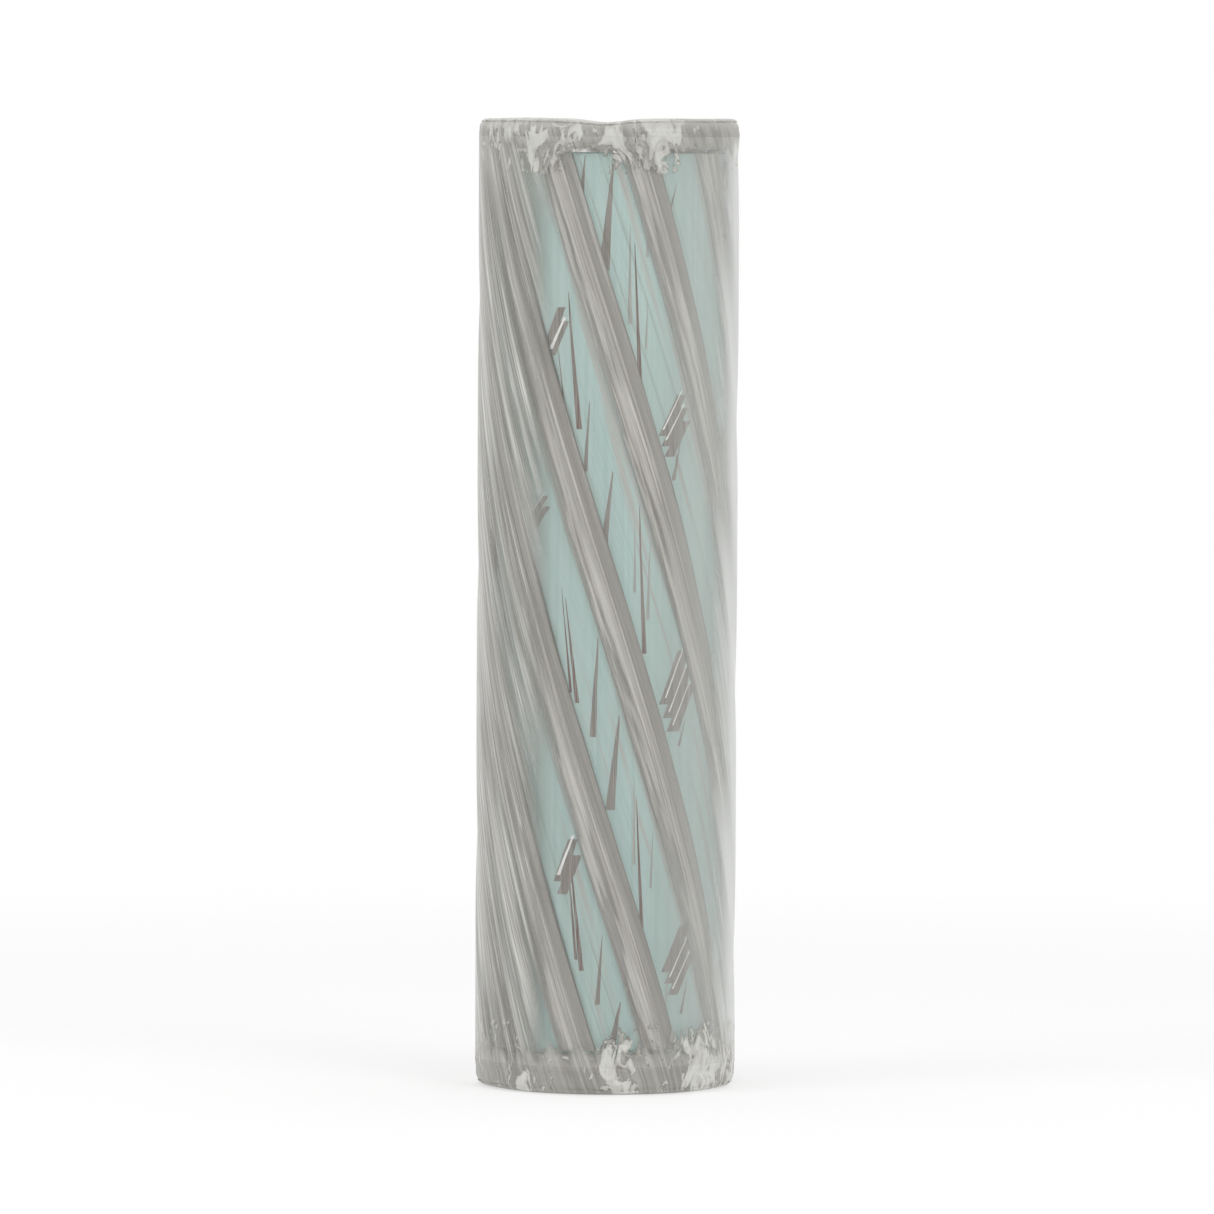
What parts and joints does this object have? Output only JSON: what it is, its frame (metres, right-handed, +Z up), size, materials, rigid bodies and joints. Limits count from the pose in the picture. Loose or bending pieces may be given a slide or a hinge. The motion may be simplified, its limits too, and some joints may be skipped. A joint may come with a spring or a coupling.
{
  "type": "barber pole light",
  "caption": "Free-standing barber pole light: a clear glass cylinder with a spirally ribbed clear drum that turns round a frosted lit core, on a thick clear base.",
  "frame": {"origin": "centre of the underside, on the surface the light stands on", "axes": "+Z up along the drum's turning axis, -Y towards the front, the inlet and switch at the back on +Y"},
  "size_m": [0.15, 0.15, 0.558],
  "materials": {
    "outer_glass": "clear, fire-polished ends",
    "ice_acrylic": "clear cast acrylic, crumpled ice finish",
    "gasket": "clear silicone",
    "foot": "translucent silicone",
    "base_steel": "brushed",
    "screw_steel": "plated",
    "white_plastic": "smooth",
    "core_aluminium": "satin anodised",
    "driver_green": "lacquered board",
    "black_plastic": "moulded",
    "lead_black": "smooth sleeve",
    "lead_red": "smooth sleeve",
    "lead_white": "smooth sleeve",
    "lead_blue": "smooth sleeve",
    "diffuser": "frosted, lit from inside",
    "standoff_brass": "turned",
    "gear_steel": "turned",
    "motor_steel": "drawn",
    "pin_brass": "plated",
    "button_plastic": "moulded",
    "drum_aqua": "translucent pale aqua acrylic",
    "shaft_steel": "ground",
    "drum_clear": "clear acrylic",
    "lamp_board": "white solder mask",
    "lamp_chip": "phosphor lens",
    "spiral_band": "clear acrylic with fine sawtooth ridges"
  },
  "bodies": {
    "case": {"glass_cylinder": "outer_glass", "base_block": "ice_acrylic", "top_cap": "ice_acrylic", "base_gasket": "gasket", "top_gasket": "gasket", "top_seal": "gasket", "foot_ring": "foot", "base_plate": "base_steel", "base_plate_screws": "screw_steel", "guide_ring": "white_plastic", "core_flange": "core_aluminium", "core_screws": "screw_steel", "core_post": "core_aluminium", "post_screws": "screw_steel", "led_board_1": "lamp_board", "led_board_2": "lamp_board", "led_board_3": "lamp_board", "led_board_4": "lamp_board", "led_chips_1": "lamp_chip", "led_chips_2": "lamp_chip", "led_chips_3": "lamp_chip", "led_chips_4": "lamp_chip", "driver_board": "driver_green", "driver_parts": "black_plastic", "power_lead": "lead_black", "switch_lead": "lead_red", "led_leads": "lead_white", "motor_lead": "lead_blue", "diffuser_tube": "diffuser", "post_cap": "core_aluminium", "standoffs": "standoff_brass", "standoff_screws": "screw_steel", "motor_plate": "core_aluminium", "plate_screws": "screw_steel", "gear_housing": "gear_steel", "motor_can": "motor_steel", "motor_screws": "screw_steel", "thrust_washer": "white_plastic", "inlet_socket": "black_plastic", "inlet_pin": "pin_brass", "switch_body": "black_plastic"},
    "drum": {"drum_tube": "drum_aqua", "motor_shaft": "shaft_steel", "drum_hub": "core_aluminium", "hub_grub_screw": "screw_steel", "hub_screws": "screw_steel", "drum_top_disc": "drum_clear", "drum_bottom_ring": "drum_clear", "spiral_band_1": "spiral_band", "spiral_band_2": "spiral_band", "spiral_band_3": "spiral_band", "spiral_band_4": "spiral_band", "spiral_band_5": "spiral_band", "spiral_band_6": "spiral_band", "spiral_band_7": "spiral_band", "spiral_band_8": "spiral_band", "spiral_band_9": "spiral_band"},
    "button": {"switch_button": "button_plastic"}
  },
  "joints": [
    {"name": "drum_turn", "type": "hinge", "parent": "case", "child": "drum", "pos_m": [0, 0, 0.28], "axis": [0, 0, 1], "continuous": true},
    {"name": "button_press", "type": "slide", "parent": "case", "child": "button", "axis": [0, -1, 0], "range_m": [0, 0.0015], "stiffness_N_per_m": 300}
  ]
}
